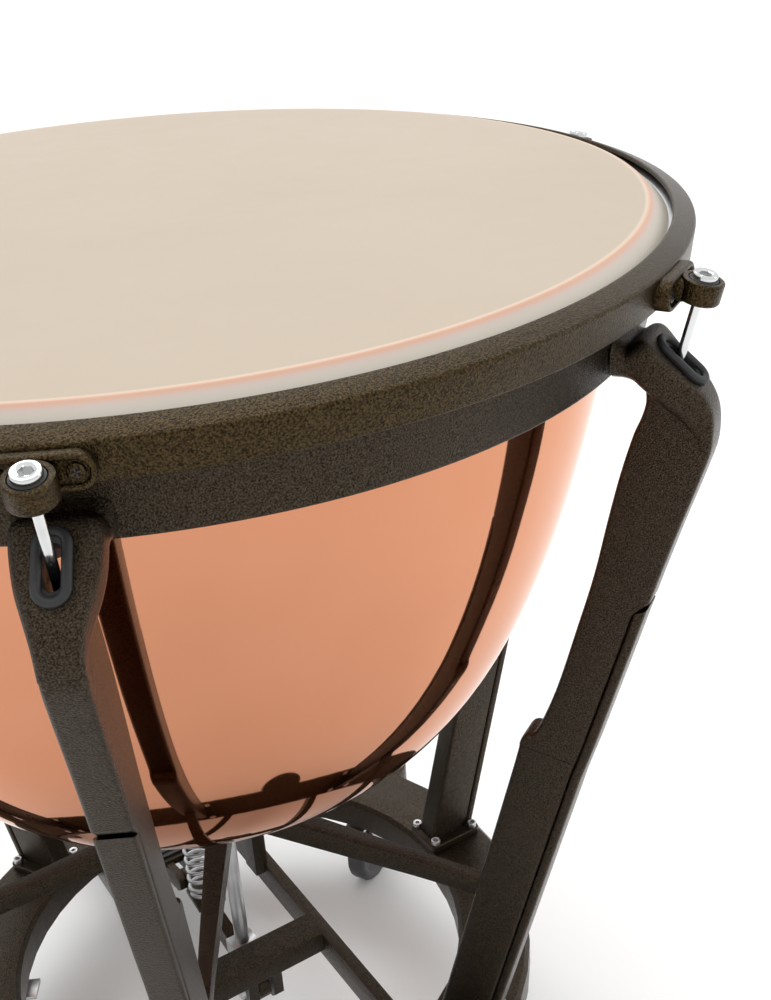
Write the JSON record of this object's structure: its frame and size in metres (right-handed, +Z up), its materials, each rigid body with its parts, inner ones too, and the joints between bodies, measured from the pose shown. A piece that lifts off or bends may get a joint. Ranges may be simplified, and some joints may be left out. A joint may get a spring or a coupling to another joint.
{
  "type": "timpani drum",
  "caption": "Pedal-tuned kettledrum with a copper bowl hung in a ring on struts, a clear-collared plastic head, lugs with tension rods and a castered base",
  "frame": {"origin": "on the floor below the centre of the drum, on the bowl axis", "axes": "+Z up along the bowl axis; +Y towards the audience, so the pedal is on the -Y side; +X to the right of a person looking along +Y"},
  "size_m": [0.8664, 0.8012, 0.8524],
  "materials": {
    "bronze_hammertone": "hammered satin powder coat",
    "graphite_coat": "fine textured powder coat",
    "copper": "mirror polished, lacquered copper",
    "film": "satin ivory polyester",
    "bright_chrome": "polished",
    "plain_steel": "zinc plated, satin",
    "black_rubber": "matt",
    "tyre_grey": "matt polyurethane"
  },
  "bodies": {
    "root": {"bowl": "copper", "bowl_ring": "graphite_coat", "vent_ring": "plain_steel", "head_film": "film", "base_frame": "graphite_coat", "rocker_axle": "plain_steel", "pedal_axle": "plain_steel", "balance_spring": "plain_steel", "strut_1": "graphite_coat", "strut_2": "graphite_coat", "strut_3": "graphite_coat", "strut_4": "graphite_coat", "strut_5": "graphite_coat", "strut_6": "graphite_coat", "strut_cover_1": "graphite_coat", "strut_cover_2": "graphite_coat", "strut_cover_3": "graphite_coat", "strut_cover_4": "graphite_coat", "strut_cover_5": "graphite_coat", "strut_cover_6": "graphite_coat", "rod_grommet_1": "black_rubber", "rod_grommet_2": "black_rubber", "rod_grommet_3": "black_rubber", "rod_grommet_4": "black_rubber", "rod_grommet_5": "black_rubber", "rod_grommet_6": "black_rubber"},
    "tension_frame": {"counterhoop": "bronze_hammertone", "flesh_hoop": "plain_steel", "spider": "graphite_coat", "pull_rod": "plain_steel", "lug_bracket_1": "bronze_hammertone", "lug_bracket_2": "bronze_hammertone", "lug_bracket_3": "bronze_hammertone", "lug_bracket_4": "bronze_hammertone", "lug_bracket_5": "bronze_hammertone", "lug_bracket_6": "bronze_hammertone"},
    "rocker": {"rocker_lever": "graphite_coat"},
    "pedal": {"pedal_casting": "graphite_coat", "pedal_tread": "black_rubber"},
    "spring_adjuster": {"spring_adjuster": "plain_steel"},
    "rod_1": {"tension_rod_1": "bright_chrome"},
    "rod_2": {"tension_rod_2": "bright_chrome"},
    "rod_3": {"tension_rod_3": "bright_chrome"},
    "rod_4": {"tension_rod_4": "bright_chrome"},
    "rod_5": {"tension_rod_5": "bright_chrome"},
    "rod_6": {"tension_rod_6": "bright_chrome"},
    "caster_1": {"caster_fork_1": "plain_steel"},
    "wheel_1": {"caster_wheel_1": "tyre_grey"},
    "brake_1": {"caster_brake_1": "plain_steel"},
    "caster_2": {"caster_fork_2": "plain_steel"},
    "wheel_2": {"caster_wheel_2": "tyre_grey"},
    "brake_2": {"caster_brake_2": "plain_steel"},
    "caster_3": {"caster_fork_3": "plain_steel"},
    "wheel_3": {"caster_wheel_3": "tyre_grey"},
    "brake_3": {"caster_brake_3": "plain_steel"}
  },
  "joints": [
    {"name": "tension_slide", "type": "slide", "parent": "root", "child": "tension_frame", "axis": [0, 0, -1], "range_m": [0, 0.0084]},
    {"name": "pedal_tilt", "type": "hinge", "parent": "root", "child": "pedal", "pos_m": [0, -0.262, 0.088], "axis": [-1, 0, 0], "range_deg": [0, 18.1]},
    {"name": "rocker_tilt", "type": "hinge", "parent": "root", "child": "rocker", "pos_m": [0, 0.03, 0.095], "axis": [1, 0, 0], "range_deg": [0, 16.2], "deforming": ["balance_spring"]},
    {"name": "spring_adjuster_turn", "type": "hinge", "parent": "root", "child": "spring_adjuster", "pos_m": [0, -0.08485, 0.229], "axis": [0, 0, 1], "range_deg": [-180, 180]},
    {"name": "rod_turn_1", "type": "hinge", "parent": "tension_frame", "child": "rod_1", "pos_m": [0.421, 0, 0.8394], "axis": [0.2334, 0, 0.9724], "range_deg": [-180, 180]},
    {"name": "rod_turn_2", "type": "hinge", "parent": "tension_frame", "child": "rod_2", "pos_m": [0.2105, 0.3646, 0.8394], "axis": [0.1167, 0.2021, 0.9724], "range_deg": [-180, 180]},
    {"name": "rod_turn_3", "type": "hinge", "parent": "tension_frame", "child": "rod_3", "pos_m": [-0.2105, 0.3646, 0.8394], "axis": [-0.1167, 0.2021, 0.9724], "range_deg": [-180, 180]},
    {"name": "rod_turn_4", "type": "hinge", "parent": "tension_frame", "child": "rod_4", "pos_m": [-0.421, 0, 0.8394], "axis": [-0.2334, 0, 0.9724], "range_deg": [-180, 180]},
    {"name": "rod_turn_5", "type": "hinge", "parent": "tension_frame", "child": "rod_5", "pos_m": [-0.2105, -0.3646, 0.8394], "axis": [-0.1167, -0.2021, 0.9724], "range_deg": [-180, 180]},
    {"name": "rod_turn_6", "type": "hinge", "parent": "tension_frame", "child": "rod_6", "pos_m": [0.2105, -0.3646, 0.8394], "axis": [0.1167, -0.2021, 0.9724], "range_deg": [-180, 180]},
    {"name": "caster_swivel_1", "type": "hinge", "parent": "root", "child": "caster_1", "pos_m": [0, 0.285, 0.105], "axis": [0, 0, 1], "continuous": true},
    {"name": "wheel_roll_1", "type": "hinge", "parent": "caster_1", "child": "wheel_1", "pos_m": [0, 0.257, 0.0375], "axis": [1, 0, 0], "continuous": true},
    {"name": "brake_press_1", "type": "hinge", "parent": "caster_1", "child": "brake_1", "pos_m": [0, 0.243, 0.086], "axis": [1, 0, 0], "range_deg": [0, 12]},
    {"name": "caster_swivel_2", "type": "hinge", "parent": "root", "child": "caster_2", "pos_m": [-0.24682, -0.1425, 0.105], "axis": [0, 0, 1], "continuous": true},
    {"name": "wheel_roll_2", "type": "hinge", "parent": "caster_2", "child": "wheel_2", "pos_m": [-0.22257, -0.1285, 0.0375], "axis": [-0.5, 0.866, 0], "continuous": true},
    {"name": "brake_press_2", "type": "hinge", "parent": "caster_2", "child": "brake_2", "pos_m": [-0.21044, -0.1215, 0.086], "axis": [-0.5, 0.866, 0], "range_deg": [0, 12]},
    {"name": "caster_swivel_3", "type": "hinge", "parent": "root", "child": "caster_3", "pos_m": [0.24682, -0.1425, 0.105], "axis": [0, 0, 1], "continuous": true},
    {"name": "wheel_roll_3", "type": "hinge", "parent": "caster_3", "child": "wheel_3", "pos_m": [0.22257, -0.1285, 0.0375], "axis": [-0.5, -0.866, 0], "continuous": true},
    {"name": "brake_press_3", "type": "hinge", "parent": "caster_3", "child": "brake_3", "pos_m": [0.21044, -0.1215, 0.086], "axis": [-0.5, -0.866, 0], "range_deg": [0, 12]}
  ],
  "couplings": [
    {"joint": "pedal_tilt", "follows": "tension_slide", "rad_per_m": 37.4},
    {"joint": "rocker_tilt", "follows": "tension_slide", "rad_per_m": 33.37}
  ]
}
